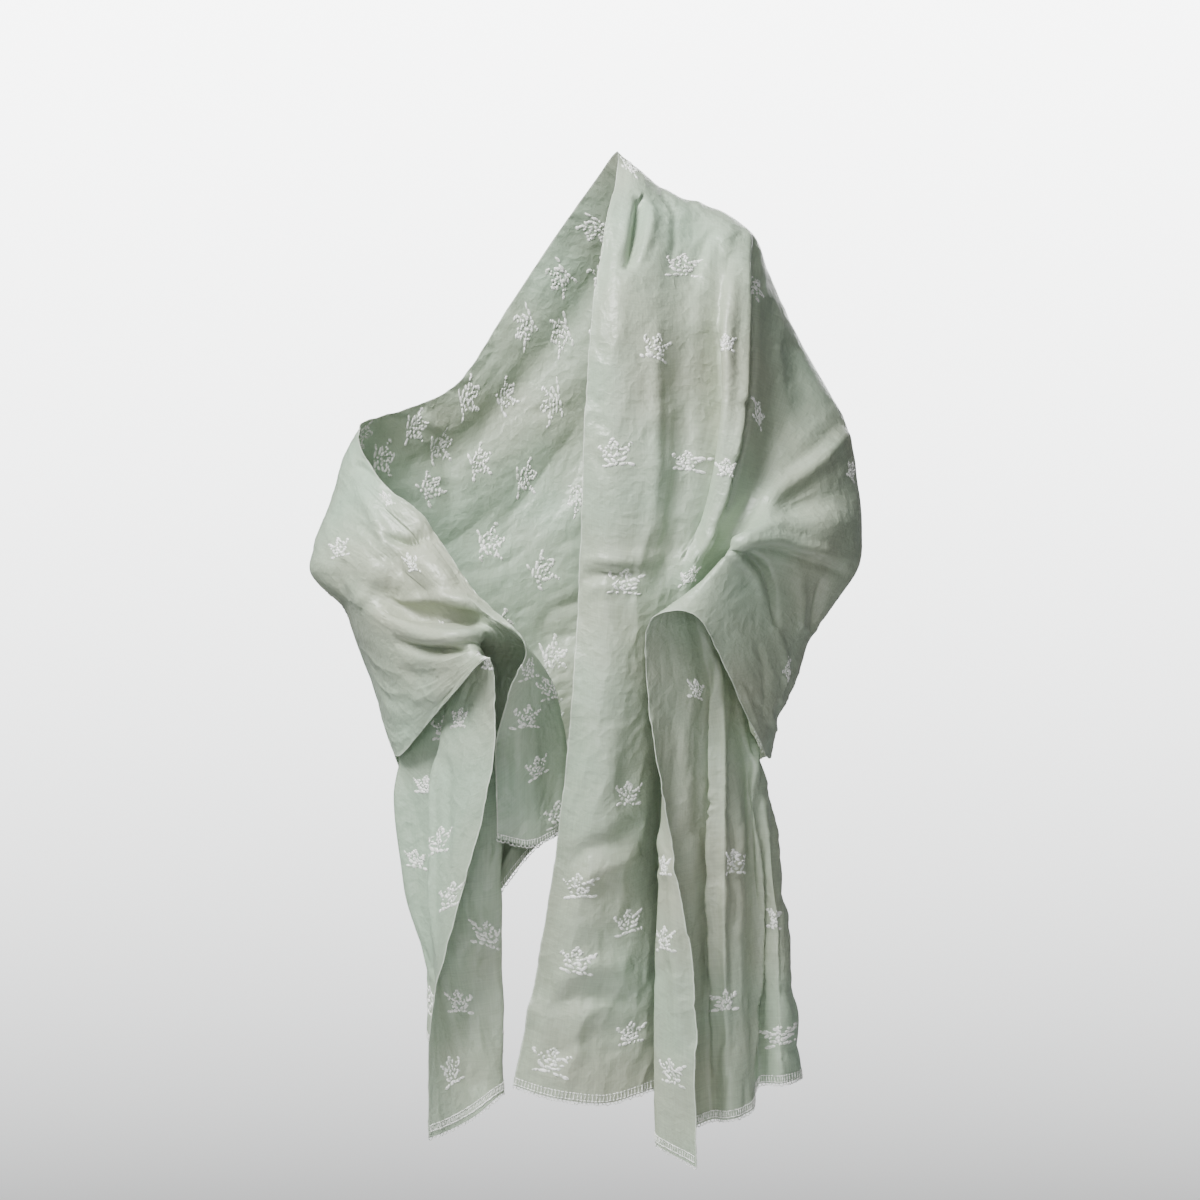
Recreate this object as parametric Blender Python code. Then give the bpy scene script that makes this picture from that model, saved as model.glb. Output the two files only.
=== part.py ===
"""A long silk shawl, hollow, in the pose it takes over one shoulder and both forearms.

The cloth is one rectangle. A table gives a row for each section across it, from the hem at the wearer's
left to the hem at the wearer's right, and each stretch that shows is a node cut from that one surface.
"""

import bpy
import numpy as np

# Sizes in metres.
WALL = 0.0016
SEAM_GAP = 0.0003
HEM_BAND = 0.009
HEM_WALL = 0.0016

# The front drawing: one square is 1.1 mm, and these are the squares under the body's middle and at the ground line.
SQUARE = 0.0011
MID_ACROSS = 572.0
GROUND_DOWN = 1167.0
VIEW_CENTRE = 600.0
VIEW_AWAY = 3.5

# Where the shawl is held, over the wearer's left shoulder, in body metres.
HELD_AT = (0.115, 0.005, 1.060)

# Soft folds raised on the surface: the section and the mm across the cloth where each starts and ends,
# then its half width and height in mm. A negative height is a trough.
FOLDS = {
    "back_swag_top": (8.7, 90, 13.2, 130, 34, 9),
    "back_swag_second": (8.8, 170, 13.0, 300, 38, 10),
    "back_swag_third": (8.9, 280, 12.8, 520, 40, 11),
    "back_swag_low": (9.0, 430, 12.2, 740, 42, 10),
    "back_hip": (9.6, 640, 11.6, 830, 36, 7),
    "left_arm_back": (8.4, 560, 10.6, 520, 30, -7),
    "right_arm_back": (12.6, 420, 14.6, 330, 30, 6),
}

# Columns of a section's points: mm across the cloth from the neck selvedge, then squares across and
# down in the front drawing, then mm forward of the body's middle.
SECTIONS = {
    "left_hem": [
        (0, 513, 1085, 88), (55, 560, 1098, 100), (105, 607, 1102, 92), (150, 645, 1090, 72),
        (185, 664, 1080, 40), (240, 690, 1076, -5), (300, 735, 1072, -30), (360, 775, 1068, -25),
        (410, 800, 1075, 15), (450, 783, 1083, 62), (490, 758, 1084, 46), (560, 750, 1111, 86),
        (600, 729, 1119, 100), (640, 711, 1119, 74), (690, 690, 1127, 88), (760, 655, 1140, 108),
        (850, 697, 1167, 138),
    ],
    "left_shin": [
        (0, 540, 950, 100), (55, 575, 955, 114), (105, 615, 957, 101), (150, 648, 950, 76),
        (185, 665, 945, 42), (240, 690, 945, 0), (300, 733, 945, -28), (360, 768, 943, -22),
        (410, 790, 950, 15), (450, 777, 952, 60), (490, 756, 952, 36), (560, 742, 955, 86),
        (600, 724, 957, 100), (640, 709, 957, 76), (690, 690, 957, 92), (760, 656, 955, 112),
        (850, 690, 952, 146),
    ],
    "left_thigh": [
        (0, 559, 830, 116), (55, 590, 833, 128), (105, 625, 836, 112), (150, 650, 833, 84),
        (185, 666, 830, 48), (240, 690, 826, 8), (300, 725, 824, -18), (360, 755, 822, -15),
        (410, 775, 830, 18), (450, 769, 832, 54), (490, 753, 832, 48), (560, 738, 833, 88),
        (600, 724, 834, 100), (640, 711, 834, 82), (690, 692, 834, 102), (760, 662, 836, 122),
        (850, 671, 838, 142),
    ],
    "left_hip": [
        (0, 572, 700, 124), (55, 602, 702, 134), (105, 632, 704, 120), (150, 652, 702, 98),
        (185, 665, 700, 70), (240, 690, 696, 40), (300, 714, 694, 22), (360, 731, 692, 24),
        (410, 744, 700, 42), (450, 742, 702, 64), (490, 734, 702, 74), (560, 728, 702, 92),
        (600, 722, 702, 102), (640, 712, 700, 92), (690, 696, 698, 112), (760, 668, 695, 130),
        (850, 648, 690, 146),
    ],
    "left_forearm": [
        (0, 579, 585, 112), (55, 606, 588, 126), (105, 638, 590, 122), (150, 662, 588, 112),
        (185, 678, 582, 112), (220, 692, 576, 118), (300, 711, 567, 95), (360, 725, 563, 82),
        (410, 735, 563, 88), (450, 732, 567, 103), (490, 723, 573, 115), (560, 710, 582, 128),
        (640, 694, 595, 142), (690, 684, 599, 150), (760, 670, 606, 160), (850, 652, 618, 172),
    ],
    "left_wrist": [
        (0, 583, 480, 120), (55, 612, 483, 134), (105, 650, 485, 130), (150, 684, 486, 112),
        (185, 708, 488, 126), (220, 727, 497, 120), (300, 745, 510, 100), (360, 757, 516, 112),
        (410, 762, 522, 130), (450, 757, 530, 148), (490, 744, 540, 156), (560, 727, 557, 156),
        (640, 712, 575, 162), (760, 700, 596, 170), (850, 692, 612, 180),
    ],
    "left_elbow_front": [
        (0, 586, 400, 120), (55, 612, 400, 134), (105, 648, 400, 128), (150, 688, 398, 102),
        (185, 724, 398, 118), (220, 746, 410, 100), (300, 765, 452, 72), (360, 782, 486, 90),
        (410, 790, 507, 88), (450, 790, 524, 118), (490, 784, 541, 126), (560, 771, 570, 116),
        (640, 758, 602, 124), (700, 750, 626, 132), (760, 740, 646, 142), (850, 722, 660, 158),
    ],
    "left_upper_arm": [
        (0, 594, 300, 108), (55, 615, 300, 124), (105, 650, 300, 115), (150, 690, 298, 88),
        (185, 728, 300, 98), (220, 750, 310, 72), (300, 786, 388, 38), (360, 822, 456, 56),
        (410, 831, 492, 56), (450, 833, 522, 82), (490, 826, 547, 90), (560, 806, 587, 80),
        (640, 788, 626, 86), (700, 777, 660, 92), (760, 767, 692, 102), (850, 750, 722, 118),
    ],
    "shoulder": [
        (0, 618, 152, -5), (55, 640, 170, 12), (105, 665, 190, 8), (150, 700, 203, 0),
        (185, 730, 213, 4), (220, 752, 232, 0), (260, 772, 283, -4), (300, 800, 342, -12),
        (360, 846, 425, -10), (410, 856, 480, 0), (450, 862, 530, 10), (490, 859, 564, 14),
        (560, 832, 606, 14), (640, 806, 646, 20), (700, 791, 690, 28), (760, 779, 714, 40),
        (850, 767, 757, 60),
    ],
    "arm_back": [
        (0, 596, 180, -62), (105, 650, 215, -72), (220, 738, 262, -66), (300, 786, 350, -80),
        (360, 822, 430, -85), (450, 838, 530, -75), (560, 806, 612, -60), (700, 778, 690, -38),
        (850, 767, 756, -8),
    ],
    "back_left": [
        (0, 560, 230, -100), (150, 630, 290, -125), (300, 700, 400, -140), (450, 740, 540, -145),
        (600, 738, 655, -136), (850, 702, 775, -112),
    ],
    "back_middle": [
        (0, 510, 305, -120), (150, 540, 400, -140), (300, 570, 520, -150), (450, 590, 640, -155),
        (600, 590, 715, -152), (850, 578, 812, -142),
    ],
    "back_right": [
        (0, 455, 386, -104), (150, 466, 460, -122), (300, 478, 560, -132), (450, 488, 660, -135),
        (600, 482, 745, -130), (850, 480, 856, -118),
    ],
    "right_arm_back": [
        (0, 410, 408, -76), (150, 400, 480, -86), (300, 392, 560, -86), (450, 396, 640, -78),
        (600, 402, 720, -66), (850, 420, 812, -40),
    ],
    "right_arm_side": [
        (0, 359, 428, -5), (100, 344, 455, -10), (200, 331, 500, -8), (300, 313, 548, 0),
        (400, 318, 582, 10), (500, 341, 602, 8), (600, 352, 628, 6), (700, 368, 666, 6),
        (850, 388, 735, 6),
    ],
    "right_upper_arm": [
        (0, 380, 480, 62), (100, 378, 505, 75), (200, 372, 535, 86), (300, 366, 565, 94),
        (400, 365, 590, 90), (500, 370, 614, 96), (600, 377, 645, 87), (700, 388, 690, 74),
        (850, 398, 757, 54),
    ],
    "right_elbow_front": [
        (0, 425, 520, 92), (100, 420, 546, 110), (200, 415, 570, 116), (300, 411, 592, 112),
        (400, 410, 610, 98), (500, 414, 630, 136), (600, 417, 656, 134), (700, 420, 690, 118),
        (850, 422, 730, 94),
    ],
    "right_forearm": [
        (0, 478, 597, 140), (100, 462, 599, 150), (200, 453, 604, 148), (300, 448, 612, 126),
        (400, 449, 621, 138), (500, 452, 634, 178), (600, 454, 652, 182), (700, 455, 671, 176),
        (850, 455, 692, 168),
    ],
    "right_wrist": [
        (0, 527, 644, 178), (93, 521, 638, 166), (137, 516, 635, 160), (195, 509, 632, 156),
        (300, 497, 630, 152), (400, 487, 632, 154), (500, 479, 638, 166), (600, 476, 647, 180),
        (700, 480, 654, 194), (850, 489, 657, 206),
    ],
    "right_below_wrist": [
        (0, 510, 690, 156), (50, 529, 690, 139), (93, 545, 690, 121), (137, 556, 690, 99),
        (195, 541, 688, 76), (260, 508, 684, 58), (333, 475, 680, 48), (393, 446, 678, 42),
        (440, 427, 680, 56), (490, 440, 682, 78), (607, 489, 684, 102), (662, 470, 686, 104),
        (707, 452, 690, 112), (780, 470, 696, 148), (850, 494, 706, 182),
    ],
    "right_hip": [
        (0, 496, 745, 124), (50, 530, 745, 118), (93, 556, 742, 100), (137, 569, 738, 80),
        (195, 545, 742, 50), (260, 505, 755, 34), (333, 460, 770, 20), (393, 420, 775, 12),
        (440, 396, 775, 35), (490, 425, 780, 55), (607, 500, 790, 85), (662, 462, 790, 88),
        (707, 433, 790, 98), (780, 458, 775, 142), (850, 493, 765, 174),
    ],
    "right_thigh": [
        (0, 496, 785, 122), (50, 530, 788, 118), (93, 557, 779, 98), (137, 570, 772, 78),
        (195, 541, 784, 49), (260, 502, 812, 34), (333, 462, 850, 22), (393, 425, 878, 16),
        (440, 404, 890, 40), (490, 430, 900, 58), (607, 501, 930, 85), (662, 460, 920, 90),
        (707, 431, 915, 104), (780, 440, 905, 137), (850, 461, 895, 158),
    ],
    "right_shin": [
        (0, 497, 812, 121), (50, 530, 817, 118), (93, 557, 807, 97), (137, 570, 800, 76),
        (195, 540, 816, 48), (260, 502, 850, 35), (333, 467, 905, 24), (393, 440, 946, 22),
        (440, 426, 970, 44), (490, 440, 988, 61), (607, 503, 1012, 86), (662, 474, 1012, 92),
        (707, 447, 1014, 101), (780, 436, 1016, 118), (850, 431, 1018, 136),
    ],
    "right_hem": [
        (0, 497, 838, 120), (50, 530, 845, 118), (93, 556, 833, 96), (137, 568, 826, 74),
        (195, 538, 845, 48), (260, 503, 887, 36), (333, 470, 960, 28), (393, 440, 1010, 26),
        (440, 427, 1037, 48), (490, 445, 1062, 61), (590, 495, 1086, 72), (626, 502, 1091, 86),
        (662, 493, 1100, 99), (707, 478, 1113, 101), (780, 455, 1127, 106), (850, 429, 1138, 118),
    ],
}

# Rows of quads between each section and the next.
ROWS = (3, 4, 4, 4, 3, 4, 4, 4, 3, 3, 3, 3, 3, 3, 4, 3, 3, 4, 3, 3, 3, 2, 2)

# Columns of quads between these places across the cloth, in mm.
COLUMN_STOPS = (0, 55, 105, 150, 185, 220, 300, 360, 410, 450, 490, 560, 607, 640, 707, 780, 850)
COLUMNS_BETWEEN = (2, 2, 2, 2, 2, 3, 3, 3, 2, 2, 3, 2, 2, 3, 3, 3)

# A row for each node: name, first and last section, first and last place across the cloth in mm.
STRETCHES = (
    ("front_fall", "left_hem", "shoulder", 0, 220),
    ("left_pleats", "left_hem", "left_forearm", 220, 640),
    ("left_front_edge", "left_hem", "left_forearm", 640, 850),
    ("left_sleeve", "left_forearm", "shoulder", 220, 850),
    ("back_drape", "shoulder", "right_arm_back", 0, 850),
    ("right_sleeve", "right_arm_back", "right_wrist", 0, 850),
    ("right_inner_tail", "right_wrist", "right_hem", 0, 185),
    ("right_back_tail", "right_wrist", "right_hem", 185, 560),
    ("right_front_tail", "right_wrist", "right_hem", 560, 850),
)


def body_place(across, down, forward):
    """Body metres of a place that the front drawing shows, nearer things being drawn larger."""
    shrink = SQUARE * (1 - forward / 1000 / VIEW_AWAY)
    x = (VIEW_CENTRE - MID_ACROSS) * SQUARE + (across - VIEW_CENTRE) * shrink
    z = (GROUND_DOWN - VIEW_CENTRE) * SQUARE - (down - VIEW_CENTRE) * shrink
    return np.stack([x, -forward / 1000 + 0 * x, z], axis=-1)


def smooth_through(points, span, share):
    """Points of the smooth curves through `points` along axis 0, at a share of the way along each given span."""
    steps = np.linalg.norm(np.diff(points, axis=0), axis=-1, keepdims=True) ** 0.5 + 1e-9
    slopes = np.diff(points, axis=0) / steps
    before = np.concatenate([steps[:1], steps])
    after = np.concatenate([steps, steps[-1:]])
    slope_in = np.concatenate([slopes[:1], slopes])
    slope_out = np.concatenate([slopes, slopes[-1:]])
    tangents = (slope_in * after + slope_out * before) / (before + after)
    f = share.reshape((-1,) + (1,) * (points.ndim - 1))
    start, end, step = points[span], points[span + 1], steps[span]
    return (
        (2 * f**3 - 3 * f**2 + 1) * start
        + (f**3 - 2 * f**2 + f) * step * tangents[span]
        + (3 * f**2 - 2 * f**3) * end
        + (f**3 - f**2) * step * tangents[span + 1]
    )


def across_samples():
    """Places across the cloth, in mm, of the grid's columns."""
    runs = zip(COLUMN_STOPS, COLUMN_STOPS[1:], COLUMNS_BETWEEN)
    return np.concatenate([np.linspace(a, b, n, endpoint=False) for a, b, n in runs] + [[COLUMN_STOPS[-1]]])


def section_curve(rows, places):
    """One section of the cloth at the given places across it."""
    table = np.array(rows, float)
    span = np.clip(np.searchsorted(table[:, 0], places, side="right") - 1, 0, len(table) - 2)
    share = (places - table[span, 0]) / (table[span + 1, 0] - table[span, 0])
    return smooth_through(body_place(*table[:, 1:].T), span, share)


def along_samples():
    """The span and the share of it of each row of the grid, from the left hem to the right hem."""
    span = np.concatenate([np.full(n, i) for i, n in enumerate(ROWS)] + [[len(ROWS) - 1]])
    share = np.concatenate([np.arange(n) / n for n in ROWS] + [[1.0]])
    return span.astype(int), share


def cloth_grid():
    """The cloth's middle surface: rows along it, columns across it."""
    places = across_samples()
    sections = np.stack([section_curve(rows, places) for rows in SECTIONS.values()])
    span, share = along_samples()
    grid = smooth_through(sections, span, share)
    return grid + face_directions(grid) * fold_heights(span, share, places)[..., None]


def fold_heights(span, share, places):
    """Height of the soft folds over the grid, each a rounded ridge that fades out towards its ends."""
    along = 100.0 * (span + share)[:, None]
    across = places[None, :]
    total = np.zeros((len(span), len(places)))
    for from_section, from_mm, to_section, to_mm, half_width, height in FOLDS.values():
        run = np.array([100.0 * (to_section - from_section), to_mm - from_mm])
        length = np.hypot(*run)
        toward = run / length
        ahead = (along - 100.0 * from_section) * toward[0] + (across - from_mm) * toward[1]
        aside = (along - 100.0 * from_section) * toward[1] - (across - from_mm) * toward[0]
        fade = np.sin(np.pi * np.clip(ahead / length, 0, 1)) ** 0.7
        total += height / 1000 * fade * np.exp(-((aside / half_width) ** 2))
    return total


def with_hem_rows(grid):
    """The grid with a row added one hem band in from each short end."""
    first = grid[1] - grid[0]
    last = grid[-2] - grid[-1]
    inner_first = grid[0] + first * (HEM_BAND / np.linalg.norm(first, axis=-1, keepdims=True))
    inner_last = grid[-1] + last * (HEM_BAND / np.linalg.norm(last, axis=-1, keepdims=True))
    return np.concatenate([grid[:1], inner_first[None], grid[1:-1], inner_last[None], grid[-1:]])


def face_directions(grid):
    """The unit direction out of the cloth's outer face at each point."""
    out = np.cross(np.gradient(grid, axis=1), np.gradient(grid, axis=0))
    return out / np.linalg.norm(out, axis=-1, keepdims=True)


def draw_in(sheet, edge, step):
    """The sheet with one edge drawn in by half a seam gap."""
    run = sheet[step] - sheet[edge]
    sheet[edge] += run * (SEAM_GAP / 2 / np.linalg.norm(run, axis=-1, keepdims=True))


def trimmed(sheet):
    """The sheet with all four edges drawn in."""
    sheet = sheet.copy()
    turned = sheet.swapaxes(0, 1)
    for view in (sheet, turned):
        draw_in(view, 0, 1)
        draw_in(view, -1, -2)
    return sheet


def wall_mesh(name, middle, directions, thickness, material):
    """A closed wall of even thickness about a grid of points, as one object."""
    outer = trimmed(middle + directions * thickness / 2)
    inner = trimmed(middle - directions * thickness / 2)
    rows, columns = middle.shape[:2]
    index = np.arange(rows * columns).reshape(rows, columns)
    corners = [index[:-1, :-1], index[:-1, 1:], index[1:, 1:], index[1:, :-1]]
    quads = np.stack(corners, axis=-1).reshape(-1, 4)
    rim = np.concatenate([index[0, :-1], index[:-1, -1], index[-1, :0:-1], index[:0:-1, 0]])
    ahead = np.roll(rim, -1)
    count = rows * columns
    sides = np.stack([ahead, rim, rim + count, ahead + count], axis=-1)
    faces = np.concatenate([quads, quads[:, [0, 3, 2, 1]] + count, sides])
    mesh = bpy.data.meshes.new(name)
    points = np.concatenate([outer.reshape(-1, 3), inner.reshape(-1, 3)])
    mesh.from_pydata(points.tolist(), [], faces.tolist())
    mesh.materials.append(material)
    obj = bpy.data.objects.new(name, mesh)
    bpy.context.scene.collection.objects.link(obj)
    return obj


def silk(name, colour, roughness):
    """A plain silk material."""
    material = bpy.data.materials.new(name)
    material.use_nodes = True
    shader = material.node_tree.nodes["Principled BSDF"]
    shader.inputs["Base Color"].default_value = (*colour, 1)
    shader.inputs["Roughness"].default_value = roughness
    return material


def celadon_silk():
    """The body of the shawl: pale grey-green silk."""
    return silk("celadon_silk", (0.60, 0.70, 0.63), 0.45)


def ivory_thread():
    """The hem bands, worked over in ivory."""
    return silk("ivory_thread", (0.86, 0.87, 0.80), 0.55)


def clear_scene():
    for obj in list(bpy.data.objects):
        bpy.data.objects.remove(obj)


def build():
    clear_scene()
    grid = with_hem_rows(cloth_grid())
    directions = face_directions(grid)
    places = across_samples()
    starts = dict(zip(SECTIONS, np.concatenate([[0], np.cumsum(ROWS)]) + 1))
    starts["right_hem"] = len(grid) - 2
    body = celadon_silk()
    pieces = []
    for name, first, last, left, right in STRETCHES:
        near, far = starts[first], starts[last]
        left_column = int(np.argmin(abs(places - left)))
        right_column = int(np.argmin(abs(places - right)))
        patch = slice(near, far + 1), slice(left_column, right_column + 1)
        pieces.append(wall_mesh(name, grid[patch], directions[patch], WALL, body))
    band = ivory_thread()
    pieces.append(wall_mesh("left_hem_band", grid[:2], directions[:2], HEM_WALL, band))
    pieces.append(wall_mesh("right_hem_band", grid[-2:], directions[-2:], HEM_WALL, band))
    held = bpy.data.objects.new("held_point", None)
    bpy.context.scene.collection.objects.link(held)
    held.location = [-v for v in HELD_AT]
    for piece in pieces:
        piece.parent = held


build()
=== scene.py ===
import math

import bpy
import numpy as np
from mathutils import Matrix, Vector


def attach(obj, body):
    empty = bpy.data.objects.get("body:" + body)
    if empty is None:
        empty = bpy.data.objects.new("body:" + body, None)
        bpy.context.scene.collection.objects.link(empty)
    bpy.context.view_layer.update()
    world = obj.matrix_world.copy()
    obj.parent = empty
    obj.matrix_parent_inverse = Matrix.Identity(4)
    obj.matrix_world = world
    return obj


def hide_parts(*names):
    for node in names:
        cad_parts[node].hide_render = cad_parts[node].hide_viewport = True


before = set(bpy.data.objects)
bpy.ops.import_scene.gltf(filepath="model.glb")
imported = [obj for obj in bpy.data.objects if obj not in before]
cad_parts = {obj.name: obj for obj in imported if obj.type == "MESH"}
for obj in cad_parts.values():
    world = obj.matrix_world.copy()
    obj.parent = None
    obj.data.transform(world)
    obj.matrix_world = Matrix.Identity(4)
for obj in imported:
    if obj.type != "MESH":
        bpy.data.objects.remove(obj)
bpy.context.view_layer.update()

print("frame loaded")

# The front drawing: one square is 1.1 mm, counted across and down, seen from 3.5 m in front.
drawing = {
    "square": 0.0011,
    "midAcross": 572.0,
    "groundDown": 1167.0,
    "viewCentre": 600.0,
    "viewAway": 3.5,
    "frameWide": 1200,
    "sensorWide": 36.0,
    "heldAt": (0.115, 0.005, 1.060),
}


# Camera at the drawing's own viewpoint, level, looking along +Y.
def makeCamera():
    square, centre = drawing["square"], drawing["viewCentre"]
    eye = np.array(
        [
            (centre - drawing["midAcross"]) * square,
            -drawing["viewAway"],
            (drawing["groundDown"] - centre) * square,
        ]
    ) - np.array(drawing["heldAt"])
    data = bpy.data.cameras.new("studioCamera")
    data.sensor_width = drawing["sensorWide"]
    data.lens = drawing["sensorWide"] * drawing["viewAway"] / (drawing["frameWide"] * square)
    data.clip_start, data.clip_end = 0.05, 60
    camera = bpy.data.objects.new("studioCamera", data)
    camera.location = eye
    camera.rotation_euler = (math.radians(90), 0, 0)
    bpy.context.scene.collection.objects.link(camera)
    bpy.context.scene.camera = camera


clothMiddle = (-0.09, 0.0, -0.45)
studio = {
    "floorDown": 1.42,
    "floorWide": 1.25,
    "floorTones": ((0.74, 0.74, 0.745), (0.78, 0.78, 0.785)),
    "floorRoughness": 0.85,
    # each light: its place, width, power, the point it is turned to, and its spread in degrees
    "lights": {
        "keyLight": ((-1.05, -1.24, 1.08), 1.0, 101.0, clothMiddle, 180.0),
        "fillLight": ((0.4, -2.6, 1.0), 1.4, 6.5, clothMiddle, 180.0),
        "lowLight": ((-0.3, -2.2, -0.3), 1.4, 1.5, (-0.16, 0.0, -0.80), 40.0),
        "topLight": ((0.2, 0.2, 1.9), 1.0, 7.0, clothMiddle, 180.0),
        "backLight": ((0.9, 2.8, 0.9), 1.4, 44.0, clothMiddle, 180.0),
    },
    "ambientPower": 0.14,
    "ambientTint": (0.97, 0.99, 1.0),
    "backdropPower": 7.6,
    "backdropTint": (0.985, 0.995, 1.0),
    # height of the looking direction from 0, straight down, to 1, straight up, then the grey there
    "backdropGreys": ((0.40, 0.08), (0.60, 1.0)),
}


# A round soft light at a place, its own -Z turned towards the aim.
def areaLight(name, place, size, power, aim, spread):
    data = bpy.data.lights.new(name, "AREA")
    data.shape = "DISK"
    data.size = size
    data.energy = power
    data.spread = math.radians(spread)
    lamp = bpy.data.objects.new(name, data)
    lamp.location = place
    toward = np.array(aim) - np.array(place)
    lamp.rotation_euler = Vector(toward).to_track_quat("-Z", "Y").to_euler()
    bpy.context.scene.collection.objects.link(lamp)


# The lights, then a world whose backdrop shows to the camera only, then the floor.
def makeStudio():
    for name, values in studio["lights"].items():
        areaLight(name, *values)

    # the backdrop that shows is a pale gradient, and the light that the surroundings give is dimmer
    world = bpy.data.worlds.new("paleStudio")
    world.use_nodes = True
    nodes, links = world.node_tree.nodes, world.node_tree.links
    ramp = nodes.new("ShaderNodeValToRGB")
    for element, (height, grey) in zip(ramp.color_ramp.elements, studio["backdropGreys"]):
        element.position = height
        element.color = (*(grey * tint for tint in studio["backdropTint"]), 1)
    direction = nodes.new("ShaderNodeTexCoord")
    split = nodes.new("ShaderNodeSeparateXYZ")
    half = nodes.new("ShaderNodeMath")
    half.operation = "MULTIPLY_ADD"
    half.inputs[1].default_value = 0.5
    half.inputs[2].default_value = 0.5
    links.new(direction.outputs["Generated"], split.inputs[0])
    links.new(split.outputs["Z"], half.inputs[0])
    links.new(half.outputs[0], ramp.inputs[0])
    backdrop = nodes["Background"]
    links.new(ramp.outputs[0], backdrop.inputs[0])
    backdrop.inputs[1].default_value = studio["backdropPower"]
    ambient = nodes.new("ShaderNodeBackground")
    ambient.inputs[0].default_value = (*studio["ambientTint"], 1)
    ambient.inputs[1].default_value = studio["ambientPower"]
    path = nodes.new("ShaderNodeLightPath")
    choose = nodes.new("ShaderNodeMixShader")
    links.new(path.outputs["Is Camera Ray"], choose.inputs[0])
    links.new(ambient.outputs[0], choose.inputs[1])
    links.new(backdrop.outputs[0], choose.inputs[2])
    links.new(choose.outputs[0], nodes["World Output"].inputs[0])
    bpy.context.scene.world = world

    # a round floor of rings: the reach grows from nearly 0, and each ring is a circle
    rings, around = 6, 64
    turns = np.linspace(0, 2 * np.pi, around + 1)[:-1]
    reach = np.linspace(0.0004, studio["floorWide"], rings)[:, None]
    x, y = reach * np.cos(turns) + clothMiddle[0], reach * np.sin(turns)
    points = np.stack([x, y, 0 * x - studio["floorDown"]], -1)
    floor = meshObject("studioFloor", points.reshape(-1, 3), ringFaces(rings, around), paleFloor())


# A new node material: itself, its nodes, its links and its main shader.
def newMaterial(name):
    material = bpy.data.materials.new(name)
    material.use_nodes = True
    nodes = material.node_tree.nodes
    return material, nodes, material.node_tree.links, nodes["Principled BSDF"]


# Matt floor, its grey a soft noise between two near tones.
def paleFloor():
    material, nodes, links, shader = newMaterial("paleFloor")
    grain = nodes.new("ShaderNodeTexNoise")
    grain.inputs["Scale"].default_value = 3.0
    place = nodes.new("ShaderNodeTexCoord")
    tint = nodes.new("ShaderNodeMix")
    tint.data_type = "RGBA"
    for name, tone in zip("AB", studio["floorTones"]):
        tint.inputs[name].default_value = (*tone, 1)
    links.new(place.outputs["Object"], grain.inputs["Vector"])
    links.new(grain.outputs["Fac"], tint.inputs["Factor"])
    links.new(tint.outputs["Result"], shader.inputs["Base Color"])
    shader.inputs["Roughness"].default_value = studio["floorRoughness"]
    return material


# Mesh helpers: a grid's faces, a tube's or ring set's faces, and an object from whole arrays.
def gridFaces(rows, columns):
    index = np.arange(rows * columns).reshape(rows, columns)
    corners = [index[:-1, :-1], index[:-1, 1:], index[1:, 1:], index[1:, :-1]]
    return np.stack(corners, -1).reshape(-1, 4)


def ringFaces(rings, around):
    index = np.arange(rings * around).reshape(rings, around)
    ahead = np.roll(index, -1, axis=1)
    return np.stack([index[:-1], index[1:], ahead[1:], ahead[:-1]], -1).reshape(-1, 4)


# Smooth shaded object at the origin; normals are one for each point, uv one for each point.
def meshObject(name, points, faces, material, normals=None, uv=None):
    mesh = bpy.data.meshes.new(name)
    loops = faces.reshape(-1)
    size = faces.shape[1]
    mesh.vertices.add(len(points))
    mesh.vertices.foreach_set("co", np.ascontiguousarray(points, dtype=np.float32).reshape(-1))
    mesh.loops.add(len(loops))
    mesh.loops.foreach_set("vertex_index", loops.astype(np.int32))
    mesh.polygons.add(len(faces))
    mesh.polygons.foreach_set("loop_start", np.arange(0, len(loops), size, dtype=np.int32))
    mesh.update(calc_edges=True)
    mesh.polygons.foreach_set("use_smooth", np.ones(len(faces), bool))
    if uv is not None:
        layer = mesh.uv_layers.new(name="cut")
        layer.uv.foreach_set("vector", np.ascontiguousarray(uv[loops], dtype=np.float32).reshape(-1))
    mesh.materials.append(material)
    if normals is not None:
        mesh.normals_split_custom_set_from_vertices(normals.tolist())
    piece = bpy.data.objects.new(name, mesh)
    bpy.context.scene.collection.objects.link(piece)
    return piece


makeCamera()
makeStudio()
print("camera, lights and floor made")

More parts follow.
